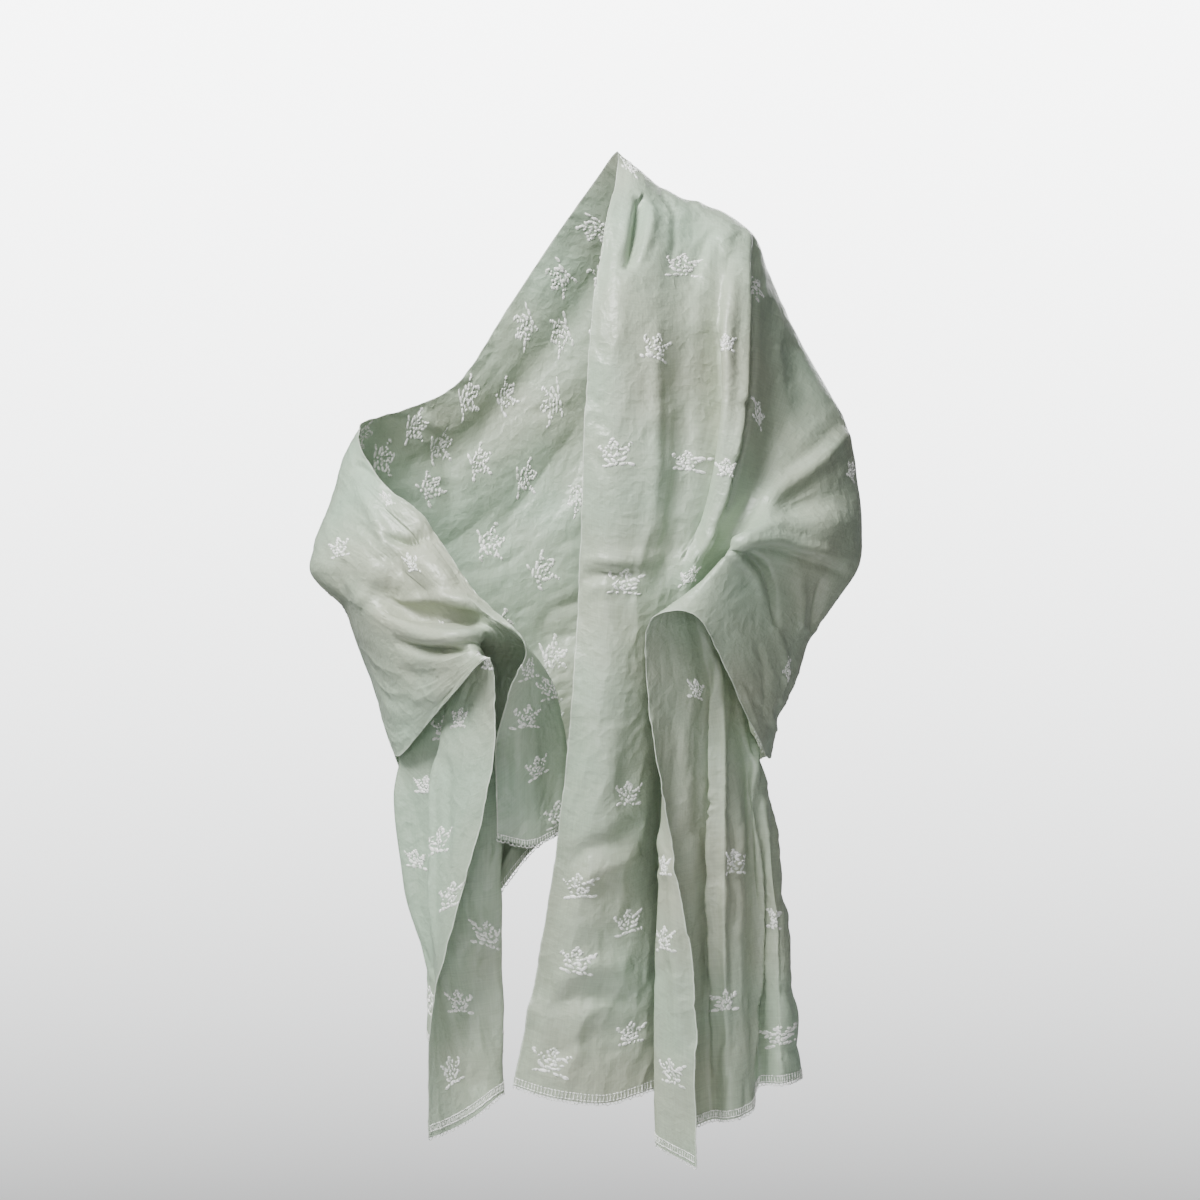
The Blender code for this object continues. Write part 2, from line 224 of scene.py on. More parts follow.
# The cloth is one rectangle. Each row is a section across it, from the hem at the wearer's left to the
# hem at the wearer's right: mm across from the neck selvedge, squares across and down, mm forward.
sections = {
    "leftHem": [
        (0, 513, 1085, 88), (55, 560, 1098, 100), (105, 607, 1102, 92), (150, 645, 1090, 72),
        (185, 664, 1080, 40), (240, 690, 1076, -5), (300, 735, 1072, -30), (360, 775, 1068, -25),
        (410, 800, 1075, 15), (450, 783, 1083, 62), (490, 758, 1084, 46), (560, 750, 1111, 86),
        (600, 729, 1119, 100), (640, 711, 1119, 74), (690, 690, 1127, 88), (760, 655, 1140, 108),
        (850, 697, 1167, 138),
    ],
    "leftShin": [
        (0, 540, 950, 100), (55, 575, 955, 114), (105, 615, 957, 101), (150, 648, 950, 76),
        (185, 665, 945, 42), (240, 690, 945, 0), (300, 733, 945, -28), (360, 768, 943, -22),
        (410, 790, 950, 15), (450, 777, 952, 60), (490, 756, 952, 36), (560, 742, 955, 86),
        (600, 724, 957, 100), (640, 709, 957, 76), (690, 690, 957, 92), (760, 656, 955, 112),
        (850, 690, 952, 146),
    ],
    "leftThigh": [
        (0, 559, 830, 116), (55, 590, 833, 128), (105, 625, 836, 112), (150, 650, 833, 84),
        (185, 666, 830, 48), (240, 690, 826, 8), (300, 725, 824, -18), (360, 755, 822, -15),
        (410, 775, 830, 18), (450, 769, 832, 54), (490, 753, 832, 48), (560, 738, 833, 88),
        (600, 724, 834, 100), (640, 711, 834, 82), (690, 692, 834, 102), (760, 662, 836, 122),
        (850, 671, 838, 142),
    ],
    "leftHip": [
        (0, 572, 700, 124), (55, 602, 702, 134), (105, 632, 704, 120), (150, 652, 702, 98),
        (185, 665, 700, 70), (240, 690, 696, 40), (300, 714, 694, 22), (360, 731, 692, 24),
        (410, 744, 700, 42), (450, 742, 702, 64), (490, 734, 702, 74), (560, 728, 702, 92),
        (600, 722, 702, 102), (640, 712, 700, 92), (690, 696, 698, 112), (760, 668, 695, 130),
        (850, 648, 690, 146),
    ],
    "leftForearm": [
        (0, 579, 585, 112), (55, 606, 588, 126), (105, 638, 590, 122), (150, 662, 588, 112),
        (185, 678, 582, 112), (220, 692, 576, 118), (300, 711, 567, 95), (360, 725, 563, 82),
        (410, 735, 563, 88), (450, 732, 567, 103), (490, 723, 573, 115), (560, 710, 582, 128),
        (640, 694, 595, 142), (690, 684, 599, 150), (760, 670, 606, 160), (850, 652, 618, 172),
    ],
    "leftWrist": [
        (0, 583, 480, 120), (55, 612, 483, 134), (105, 650, 485, 130), (150, 684, 486, 112),
        (185, 708, 488, 126), (220, 727, 497, 120), (300, 745, 510, 100), (360, 757, 516, 112),
        (410, 762, 522, 130), (450, 757, 530, 148), (490, 744, 540, 156), (560, 727, 557, 156),
        (640, 712, 575, 162), (760, 700, 596, 170), (850, 692, 612, 180),
    ],
    "leftElbowFront": [
        (0, 586, 400, 120), (55, 612, 400, 134), (105, 648, 400, 128), (150, 688, 398, 102),
        (185, 724, 398, 118), (220, 746, 410, 100), (300, 765, 452, 72), (360, 782, 486, 90),
        (410, 790, 507, 88), (450, 790, 524, 118), (490, 784, 541, 126), (560, 771, 570, 116),
        (640, 758, 602, 124), (700, 750, 626, 132), (760, 740, 646, 142), (850, 722, 660, 158),
    ],
    "leftUpperArm": [
        (0, 594, 300, 108), (55, 615, 300, 124), (105, 650, 300, 115), (150, 690, 298, 88),
        (185, 728, 300, 98), (220, 750, 310, 72), (300, 786, 388, 38), (360, 822, 456, 56),
        (410, 831, 492, 56), (450, 833, 522, 82), (490, 826, 547, 90), (560, 806, 587, 80),
        (640, 788, 626, 86), (700, 777, 660, 92), (760, 767, 692, 102), (850, 750, 722, 118),
    ],
    "shoulder": [
        (0, 618, 152, -5), (55, 640, 170, 12), (105, 665, 190, 8), (150, 700, 203, 0),
        (185, 730, 213, 4), (220, 752, 232, 0), (260, 772, 283, -4), (300, 800, 342, -12),
        (360, 846, 425, -10), (410, 856, 480, 0), (450, 862, 530, 10), (490, 859, 564, 14),
        (560, 832, 606, 14), (640, 806, 646, 20), (700, 791, 690, 28), (760, 779, 714, 40),
        (850, 767, 757, 60),
    ],
    "armBack": [
        (0, 596, 180, -62), (105, 650, 215, -72), (220, 738, 262, -66), (300, 786, 350, -80),
        (360, 822, 430, -85), (450, 838, 530, -75), (560, 806, 612, -60), (700, 778, 690, -38),
        (850, 767, 756, -8),
    ],
    "backLeft": [
        (0, 560, 230, -100), (150, 630, 290, -125), (300, 700, 400, -140), (450, 740, 540, -145),
        (600, 738, 655, -136), (850, 702, 775, -112),
    ],
    "backMiddle": [
        (0, 510, 305, -120), (150, 540, 400, -140), (300, 570, 520, -150), (450, 590, 640, -155),
        (600, 590, 715, -152), (850, 578, 812, -142),
    ],
    "backRight": [
        (0, 455, 386, -104), (150, 466, 460, -122), (300, 478, 560, -132), (450, 488, 660, -135),
        (600, 482, 745, -130), (850, 480, 856, -118),
    ],
    "rightArmBack": [
        (0, 410, 408, -76), (150, 400, 480, -86), (300, 392, 560, -86), (450, 396, 640, -78),
        (600, 402, 720, -66), (850, 420, 812, -40),
    ],
    "rightArmSide": [
        (0, 359, 428, -5), (100, 344, 455, -10), (200, 331, 500, -8), (300, 313, 548, 0),
        (400, 318, 582, 10), (500, 341, 602, 8), (600, 352, 628, 6), (700, 368, 666, 6),
        (850, 388, 735, 6),
    ],
    "rightUpperArm": [
        (0, 380, 480, 62), (100, 378, 505, 75), (200, 372, 535, 86), (300, 366, 565, 94),
        (400, 365, 590, 90), (500, 370, 614, 96), (600, 377, 645, 87), (700, 388, 690, 74),
        (850, 398, 757, 54),
    ],
    "rightElbowFront": [
        (0, 425, 520, 92), (100, 420, 546, 110), (200, 415, 570, 116), (300, 411, 592, 112),
        (400, 410, 610, 98), (500, 414, 630, 136), (600, 417, 656, 134), (700, 420, 690, 118),
        (850, 422, 730, 94),
    ],
    "rightForearm": [
        (0, 478, 597, 140), (100, 462, 599, 150), (200, 453, 604, 148), (300, 448, 612, 126),
        (400, 449, 621, 138), (500, 452, 634, 178), (600, 454, 652, 182), (700, 455, 671, 176),
        (850, 455, 692, 168),
    ],
    "rightWrist": [
        (0, 527, 644, 178), (93, 521, 638, 166), (137, 516, 635, 160), (195, 509, 632, 156),
        (300, 497, 630, 152), (400, 487, 632, 154), (500, 479, 638, 166), (600, 476, 647, 180),
        (700, 480, 654, 194), (850, 489, 657, 206),
    ],
    "rightBelowWrist": [
        (0, 510, 690, 156), (50, 529, 690, 139), (93, 545, 690, 121), (137, 556, 690, 99),
        (195, 541, 688, 76), (260, 508, 684, 58), (333, 475, 680, 48), (393, 446, 678, 42),
        (440, 427, 680, 56), (490, 440, 682, 78), (607, 489, 684, 102), (662, 470, 686, 104),
        (707, 452, 690, 112), (780, 470, 696, 148), (850, 494, 706, 182),
    ],
    "rightHip": [
        (0, 496, 745, 124), (50, 530, 745, 118), (93, 556, 742, 100), (137, 569, 738, 80),
        (195, 545, 742, 50), (260, 505, 755, 34), (333, 460, 770, 20), (393, 420, 775, 12),
        (440, 396, 775, 35), (490, 425, 780, 55), (607, 500, 790, 85), (662, 462, 790, 88),
        (707, 433, 790, 98), (780, 458, 775, 142), (850, 493, 765, 174),
    ],
    "rightThigh": [
        (0, 496, 785, 122), (50, 530, 788, 118), (93, 557, 779, 98), (137, 570, 772, 78),
        (195, 541, 784, 49), (260, 502, 812, 34), (333, 462, 850, 22), (393, 425, 878, 16),
        (440, 404, 890, 40), (490, 430, 900, 58), (607, 501, 930, 85), (662, 460, 920, 90),
        (707, 431, 915, 104), (780, 440, 905, 137), (850, 461, 895, 158),
    ],
    "rightShin": [
        (0, 497, 812, 121), (50, 530, 817, 118), (93, 557, 807, 97), (137, 570, 800, 76),
        (195, 540, 816, 48), (260, 502, 850, 35), (333, 467, 905, 24), (393, 440, 946, 22),
        (440, 426, 970, 44), (490, 440, 988, 61), (607, 503, 1012, 86), (662, 474, 1012, 92),
        (707, 447, 1014, 101), (780, 436, 1016, 118), (850, 431, 1018, 136),
    ],
    "rightHem": [
        (0, 497, 838, 120), (50, 530, 845, 118), (93, 556, 833, 96), (137, 568, 826, 74),
        (195, 538, 845, 48), (260, 503, 887, 36), (333, 470, 960, 28), (393, 440, 1010, 26),
        (440, 427, 1037, 48), (490, 445, 1062, 61), (590, 495, 1086, 72), (626, 502, 1091, 86),
        (662, 493, 1100, 99), (707, 478, 1113, 101), (780, 455, 1127, 106), (850, 429, 1138, 118),
    ],
}

# Broad soft folds: section and mm across at each end, half width and height in mm.
broadFolds = {
    "backSwagTop": (8.7, 90, 13.2, 130, 34, 9),
    "backSwagSecond": (8.8, 170, 13.0, 300, 38, 10),
    "backSwagThird": (8.9, 280, 12.8, 520, 40, 11),
    "backSwagLow": (9.0, 430, 12.2, 740, 42, 10),
    "backHip": (9.6, 640, 11.6, 830, 36, 7),
    "leftArmBack": (8.4, 560, 10.6, 520, 30, -7),
    "rightArmBack": (12.6, 420, 14.6, 330, 30, 6),
}

# The shell and its grid: metres, but the mm across in columnStep, wide and seams; the softening in steps.
cloth = {
    "thickness": 0.0010,
    "rowStep": 0.0049,
    "columnStep": 2.8,
    "wide": 850,
    "seams": (0, 185, 220, 560, 640, 850),
    "hemBand": 0.009,
    "softAlong": 2.2,
    "softAcross": 0.8,
}


# Lengths of the steps from point to point along one axis.
def stepLengths(points, axis=0):
    return np.linalg.norm(np.diff(points, axis=axis), axis=-1)


# Body metres of a place in the front drawing, nearer things being drawn larger, then moved to the row.
def placeInRow(across, down, forward):
    square, centre = drawing["square"], drawing["viewCentre"]
    shrink = square * (1 - forward / 1000 / drawing["viewAway"])
    x = (centre - drawing["midAcross"]) * square + (across - centre) * shrink
    z = (drawing["groundDown"] - centre) * square - (down - centre) * shrink
    return np.stack([x, -forward / 1000 + 0 * x, z], -1) - np.array(drawing["heldAt"])


# Centripetal smooth curve through the points along axis 0, a Hermite blend with averaged slopes.
def smoothThrough(points, span, share):
    steps = np.linalg.norm(np.diff(points, axis=0), axis=-1, keepdims=True) ** 0.5 + 1e-9
    slopes = np.diff(points, axis=0) / steps
    before = np.concatenate([steps[:1], steps])
    after = np.concatenate([steps, steps[-1:]])
    slopeIn = np.concatenate([slopes[:1], slopes])
    slopeOut = np.concatenate([slopes, slopes[-1:]])
    tangents = (slopeIn * after + slopeOut * before) / (before + after)
    f = share.reshape((-1,) + (1,) * (points.ndim - 1))
    start, end, step = points[span], points[span + 1], steps[span]
    return (
        (2 * f**3 - 3 * f**2 + 1) * start
        + (f**3 - 2 * f**2 + f) * step * tangents[span]
        + (3 * f**2 - 2 * f**3) * end
        + (f**3 - f**2) * step * tangents[span + 1]
    )


# One section's curve at the given mm across, smooth through its table's points.
def sectionCurve(rows, places):
    table = np.array(rows, float)
    span = np.clip(np.searchsorted(table[:, 0], places, side="right") - 1, 0, len(table) - 2)
    share = (places - table[span, 0]) / (table[span + 1, 0] - table[span, 0])
    return smoothThrough(placeInRow(*table[:, 1:].T), span, share)


# Places across the cloth in mm, evenly spaced between the seams, so that each seam is a column.
def columnPlaces():
    seams = cloth["seams"]
    runs = [
        np.linspace(a, b, max(2, round((b - a) / cloth["columnStep"])), endpoint=False)
        for a, b in zip(seams, seams[1:])
    ]
    return np.concatenate(runs + [[seams[-1]]])


# Rows between each section and the next, as many as their mean distance holds steps.
def rowPlaces(curves):
    gaps = stepLengths(curves).mean(axis=1)
    counts = np.maximum(2, np.round(gaps / cloth["rowStep"])).astype(int)
    span = np.concatenate([np.full(n, i) for i, n in enumerate(counts)] + [[len(counts) - 1]])
    share = np.concatenate([np.arange(n) / n for n in counts] + [[1.0]])
    return span, share


# Unit normals: the step across crossed with the step along.
def outward(grid):
    out = np.cross(np.gradient(grid, axis=1), np.gradient(grid, axis=0))
    return out / np.linalg.norm(out, axis=-1, keepdims=True)


# Each broad fold is a bell across its line, fading out by a sine towards both ends. One section counts
# as 100 mm along it.
def broadHeights(section, places):
    each = 100.0
    along, across = each * section[:, None], places[None, :]
    total = np.zeros((len(section), len(places)))
    for fromSection, fromMm, toSection, toMm, halfWidth, height in broadFolds.values():
        run = np.array([each * (toSection - fromSection), toMm - fromMm])
        length = np.hypot(*run)
        toward = run / length
        ahead = (along - each * fromSection) * toward[0] + (across - fromMm) * toward[1]
        aside = (along - each * fromSection) * toward[1] - (across - fromMm) * toward[0]
        fade = np.sin(np.pi * np.clip(ahead / length, 0, 1)) ** 0.7
        total += height / 1000 * fade * np.exp(-((aside / halfWidth) ** 2))
    return total


# Bell-weighted average along one axis, the ends held by mirrored padding about their own value.
def soften(values, spread, axis):
    reach = int(math.ceil(3 * spread))
    weights = np.exp(-0.5 * (np.arange(-reach, reach + 1) / spread) ** 2)
    weights /= weights.sum()
    moved = np.moveaxis(values, axis, 0)
    first = 2 * moved[:1] - moved[reach:0:-1]
    last = 2 * moved[-1:] - moved[-2 : -reach - 2 : -1]
    padded = np.concatenate([first, moved, last])
    total = sum(w * padded[k : k + len(moved)] for k, w in enumerate(weights))
    return np.moveaxis(total, 0, axis)


# Value at fractional rows and columns of a grid, bilinear.
def sample(grid, row, column):
    row = np.clip(row, 0, grid.shape[0] - 1.001)
    column = np.clip(column, 0, grid.shape[1] - 1.001)
    r, c = row.astype(int), column.astype(int)
    f, g = row - r, column - c
    if grid.ndim == 3:
        f, g = f[..., None], g[..., None]
    return (
        grid[r, c] * (1 - f) * (1 - g)
        + grid[r + 1, c] * f * (1 - g)
        + grid[r, c + 1] * (1 - f) * g
        + grid[r + 1, c + 1] * f * g
    )


places = columnPlaces()
curves = np.stack([sectionCurve(rows, places) for rows in sections.values()])
span, share = rowPlaces(curves)
section = span + share
base = smoothThrough(curves, span, share)
base = base + outward(base) * broadHeights(section, places)[..., None]
base = soften(soften(base, cloth["softAlong"], 0), cloth["softAcross"], 1)
acrossMm = np.broadcast_to(places[None, :], base.shape[:2])
alongMm = 1000 * np.concatenate([np.zeros((1, len(places))), np.cumsum(stepLengths(base), axis=0)])
print("cloth surface", base.shape)


# Grid row of a section, and grid column of a place across in mm, both as fractions.
def rowAt(wanted):
    return np.interp(wanted, section, np.arange(len(section)))


def columnAt(mm):
    return np.interp(mm, places, np.arange(len(places)))


# Creases: half width and height in mm, then the places they pass through, each a section
# and mm across. A negative height is a trough.
creases = {
    "neckCrease": (6.5, -18, ((7.72, 62), (7.6, 68), (7.44, 70), (7.2, 66))),
    "neckRoll": (8, 5, ((7.64, 14), (7.48, 4), (7.28, 6))),
    "neckRollRight": (8, 5, ((7.72, 86), (7.52, 88), (7.24, 84))),
    "yokeDip": (7, -5.5, ((7.64, 168), (7.4, 156), (7.08, 150))),
    "yokeLine": (5, -3, ((7.96, 96), (7.52, 124), (7.24, 126))),
    "bustShade": (9, -8, ((7.64, 194), (7.08, 178), (6.48, 166))),
    "fallFold": (5, 2.2, ((6.48, 126), (5.76, 128), (4.84, 124), (4.28, 132))),
    "tubeRidge": (7, 11, ((7.52, 202), (6.72, 210), (6.04, 210), (5.32, 220), (4.56, 230), (4.2, 210))),
    "edgeNotchUpper": (4, -2.4, ((6.56, 6), (6.52, 26), (6.44, 42))),
    "edgeNotchMiddle": (4, -2.6, ((6.08, 4), (5.96, 22), (5.88, 40))),
    "edgeNotchLower": (5, -3.2, ((5.8, 6), (5.72, 32), (5.68, 54))),
    "edgePuckerLong": (5, -2.6, ((5.36, 4), (5.24, 28), (5.04, 54))),
    "waistRidge": (6, 7, ((4.2, 6), (4.24, 60), (4.28, 102), (4.28, 144))),
    "waistCrease": (5, -9, ((4.04, 2), (4.12, 42), (4.12, 82), (4.16, 112))),
    "waistRidgeLow": (6, 3, ((3.92, 8), (4, 56), (4, 92))),
    "skirtFoldUpper": (11, 7, ((1.52, 36), (1.72, 80), (1.88, 130))),
    "skirtDipUpper": (10, -6, ((1.76, 20), (1.92, 70), (2.12, 128))),
    "skirtFoldLower": (11, 6, ((0.76, 26), (0.92, 74), (0.92, 126))),
    "skirtDipLower": (10, -6, ((0.6, 26), (0.72, 78), (0.68, 132))),
    "skirtHemFold": (8, -3, ((0.24, 26), (0.4, 70), (0.56, 92))),
    "sleeveDiagonal": (9, 6, ((7.96, 370), (7.32, 362), (6.28, 366), (5.44, 360))),
    "sleeveDiagonalOver": (10, -4, ((7.84, 354), (6.92, 350), (6.12, 340))),
    "sleeveRoll": (8, 9, ((4.24, 310), (5.12, 500), (5.8, 488), (6.64, 500), (7.68, 496))),
    "sleeveRollUnder": (5, -5, ((5.32, 542), (5.92, 516), (6.72, 522), (7.76, 516))),
    "cuffArc": (5, -12, ((5.32, 542), (5.88, 566), (6.32, 612), (6.68, 658))),
    "cuffArcLip": (6, 5, ((4.84, 548), (5.68, 590), (6.16, 636))),
    "sleeveUnderA": (8, 5, ((6.52, 536), (7.04, 584), (7.44, 646))),
    "sleeveUnderB": (8, -8, ((7.2, 532), (7.44, 566), (7.84, 620))),
    "sleeveUpperDip": (14, -3, ((7.64, 290), (7.32, 312), (7, 332))),
    "sleeveUpperRise": (12, 3, ((7.28, 266), (6.96, 290), (6.44, 308))),
    "cuffFold": (7, 4, ((6.52, 660), (7.24, 686), (7.64, 742))),
    "cuffDip": (7, -3, ((6.24, 714), (6.84, 748), (7.32, 808))),
    "cuffPuckerA": (4, -2, ((6.4, 824), (6.68, 800))),
    "cuffPuckerB": (4, -2, ((6.8, 810), (7.12, 794))),
    "pleatValley": (4.5, -14, ((3.4, 576), (2.68, 628), (2.12, 622), (1.44, 622), (0.72, 624), (0.24, 628))),
    "pleatRibB": (11, 9, ((3, 498), (2.12, 568), (1.04, 576), (0.24, 588))),
    "pleatDipC": (4.5, -14, ((2.76, 424), (2, 488), (1, 506), (0.16, 542))),
    "pleatRibC": (11, 9, ((2.36, 418), (1.84, 436), (1, 448), (0.16, 458))),
    "flapCrinkleA": (6, 2.5, ((1.8, 764), (1.72, 850), (1.64, 688))),
    "flapCrinkleB": (7, -2.5, ((0.84, 756), (0.92, 816), (0.88, 850))),
    "flapCrinkleC": (7, 2.5, ((0.48, 772), (0.44, 814), (0.48, 850))),
    "rightLobeCrease": (4, -12, ((15.28, 170), (15.68, 138), (16.12, 32))),
    "rightLobeUpper": (14, 8, ((15.32, 30), (15.76, 34), (16.12, 0))),
    "rightLobeLower": (14, 8, ((15.72, 184), (16.28, 140), (16.8, 98))),
    "rightRidge": (8, 5, ((14.6, 112), (14.92, 138), (15.24, 172), (15.4, 228))),
    "rightRidgeDip": (6, -4, ((14.4, 80), (14.68, 32), (14.92, 16))),
    "rightRadialA": (5, -4, ((15.36, 192), (15.56, 262), (15.52, 374))),
    "rightRadialB": (4.5, -5, ((15.6, 186), (15.76, 260), (15.76, 360))),
    "rightRadialC": (7, 4, ((15.2, 266), (15.08, 394), (14.68, 496))),
    "rightSideDip": (9, -4, ((14.72, 308), (14.6, 406), (14.64, 470))),
    "rightRoll": (8, 8, ((15.36, 484), (15.92, 504), (16.68, 526), (17.6, 508), (18.08, 420))),
    "rightRollLine": (6, -12, ((15.48, 564), (16.36, 580), (17.68, 606))),
    "rightHollow": (9, -12, ((15.44, 460), (16.24, 418), (17.16, 318), (17.52, 126))),
    "rightHollowLip": (6, 7, ((15.64, 380), (16.36, 290), (16.96, 152), (17.24, 8))),
    "rightCuffDimpleA": (9, -3, ((15.52, 642), (16.04, 660), (16.48, 662))),
    "rightCuffDimpleB": (8, 3, ((15.68, 726), (16.32, 748), (16.92, 776))),
    "tailLapCrease": (5, -6, ((19.72, 712), (20.28, 734), (20.92, 748), (21.48, 784))),
    "tailLapRoll": (9, 4, ((19.72, 748), (20.36, 770), (20.84, 796))),
    "tailOuterFold": (8, 4, ((20.2, 470), (20.68, 472), (21.4, 466))),
    "tailPuckerA": (4, -2, ((20.48, 812), (20.48, 830), (20.44, 844))),
    "tailHemCrease": (5, -3.5, ((22.52, 750), (22.68, 702), (22.8, 672))),
    "tailInnerDip": (9, -4, ((20.8, 640), (21.64, 650), (22.28, 682))),
    "innerTailDip": (8, -3, ((19.2, 20), (20.32, 32), (22.12, 32))),
    "innerTailRise": (24, 12, ((19.2, 96), (20.44, 86), (22.52, 86))),
    "backUnderArm": (7, -6, ((12.76, 16), (12.52, 50), (12.28, 76))),
    "backUnderArmRise": (12, 5, ((12.52, 82), (12.28, 152), (12.24, 234))),
    "fallTurn": (9, 6, ((6.8, 114), (6, 114), (5.16, 112), (4.4, 118))),
    "fallValley": (12, -26, ((6.76, 168), (6.16, 170), (5.52, 174), (4.88, 180), (4.24, 188))),
    "fallValleyUpper": (11, -13, ((7.56, 174), (7.08, 170), (6.48, 168), (5.64, 172))),
    "shoulderCorner": (6, 5, ((7.88, 208), (7.56, 210), (7.16, 210))),
    "tubeSlit": (
        5.5, -20, ((7.92, 222), (7.24, 226), (6.64, 230), (6.12, 226), (5.56, 224), (4.92, 234), (4.48, 236)),
    ),
    "stripFold": (9, 4, ((2.96, 750), (2.24, 730), (1.44, 830), (0.76, 822), (0.32, 824))),
    "sleeveHollowFill": (14, 3, ((7.52, 398), (6.68, 402), (5.84, 416))),
    "stripSmooth": (10, 5, ((3.08, 676), (2.52, 678), (1.96, 676))),
    "stripRoll": (12, 5, ((1.52, 822), (0.96, 820), (0.56, 824), (0.2, 830))),
    "stripDent": (9, -4, ((1.16, 850), (0.8, 850), (0.52, 844))),
    "skirtLong": (16, 5, ((2.88, 80), (2.28, 78), (1.64, 78))),
}


# A crease's height is a bell of the distance in space to its line, fading out by a sine at both ends.
# Only the grid near the line is worked out, and one section counts as 90 mm along it.
def creaseHeights(grid, table):
    total = np.zeros(grid.shape[:2])
    each = 90
    for halfWidth, height, points in table.values():
        passed = np.array(points, float)
        gaps = np.hypot(np.diff(passed[:, 0]) * each, np.diff(passed[:, 1]))
        ends = np.concatenate([[0], np.cumsum(gaps)])
        steps = np.linspace(0, ends[-1], int(max(24, ends[-1] / (0.4 * halfWidth))))
        cut = np.clip(np.searchsorted(ends, steps, side="right") - 1, 0, len(passed) - 2)
        part = (steps - ends[cut]) / (ends[cut + 1] - ends[cut])
        line = smoothThrough(passed, cut, part)
        rows, columns = rowAt(line[:, 0]), columnAt(line[:, 1])
        path = sample(grid, rows, columns)
        nearRows = int(2.6 * halfWidth / (1000 * cloth["rowStep"]) * 1.6) + 2
        nearColumns = int(2.6 * halfWidth / cloth["columnStep"] * 1.3) + 2
        r0, r1 = max(0, int(rows.min()) - nearRows), int(rows.max()) + nearRows + 1
        c0, c1 = max(0, int(columns.min()) - nearColumns), int(columns.max()) + nearColumns + 1
        patch = grid[r0:r1, c0:c1]
        distance, nearest = np.full(patch.shape[:2], 9.0), np.zeros(patch.shape[:2])
        for k, point in enumerate(path):
            away = np.linalg.norm(patch - point, axis=-1)
            nearest = np.where(away < distance, k, nearest)
            distance = np.minimum(distance, away)
        fade = np.sin(np.pi * np.clip(nearest / (len(path) - 1), 0.0, 1.0)) ** 0.6
        total[r0:r1, c0:c1] += height / 1000 * fade * np.exp(-((1000 * distance / halfWidth) ** 2))
    return total


# Smooth seeded noise from -1 to 1: random values on cells of the given size in mm, blended between.
def softNoise(seed, alongCell, acrossCell, along, across):
    rows, columns = 600, 400
    values = np.random.default_rng(seed).uniform(-1, 1, (rows, columns))
    row, column = along / alongCell + 3.0, across / acrossCell + 3.0
    r, c = np.floor(row).astype(int), np.floor(column).astype(int)
    f, g = row - r, column - c
    f, g = f * f * (3 - 2 * f), g * g * (3 - 2 * g)
    r, c = r % (rows - 2), c % (columns - 2)
    near = values[r, c] * (1 - g) + values[r, c + 1] * g
    far = values[r + 1, c] * (1 - g) + values[r + 1, c + 1] * g
    return near * (1 - f) + far * f


# Heights and reaches in mm, sway as well. From lowFrom down, in metres, lowMore is added by degrees over
# a depth of lowOver.
crumple = {
    "broad": 2.9,
    "fine": 0.8,
    "sway": 14,
    "edgePucker": 1.1,
    "edgeReach": 17.0,
    "hemWave": 1.6,
    "hemReach": 40,
    "sprigPucker": 0.7,
    "sprigReach": 22,
    "lowMore": 0.8,
    "lowFrom": -0.40,
    "lowOver": 0.25,
}


# Crumpling: ridged noise, where 1 minus the size of a noise makes sharp crests, plus short puckers
# across both selvedges that die away with the distance from the edge. Each noise gives its seed, then
# its cell in mm along and across.
def crumpleHeights(along, across):
    bend = crumple["sway"] * softNoise(11, 70, 60, along, across)
    sway = crumple["sway"] * softNoise(12, 60, 70, along, across)
    crests = 1 - 2.2 * np.abs(softNoise(13, 58, 42, along + bend, across + sway))
    small = 1 - 2.2 * np.abs(softNoise(14, 19, 16, along + sway, across + bend))
    calm = 0.35 + 0.65 * (0.5 + 0.5 * softNoise(15, 120, 110, along, across))
    low = np.clip((crumple["lowFrom"] - base[..., 2]) / crumple["lowOver"], 0, 1)
    calm = calm * (1 + crumple["lowMore"] * low)
    edge = np.minimum(across, cloth["wide"] - across)
    pucker = softNoise(16, 10, 55, along, across) + 0.6 * softNoise(17, 5.5, 30, along, across)
    wave = softNoise(18, 400, 26, along, across)
    endMm = np.minimum(along, along[-1:] - along)
    # where the surface is gathered closer than the cloth's own mm, the crumpling is less
    squeeze = np.linalg.norm(np.gradient(base, axis=1), axis=-1) * 1000 / np.gradient(places)
    squeeze = soften(soften(np.clip(squeeze, 0.25, 1.0), 6, 0), 6, 1) ** 1.5
    return (
        crumple["broad"] * crests * calm * squeeze
        + crumple["fine"] * small * calm * squeeze
        + crumple["edgePucker"] * pucker * np.exp(-edge / crumple["edgeReach"])
        + crumple["hemWave"] * wave * np.exp(-endMm / crumple["hemReach"])
    ) / 1000


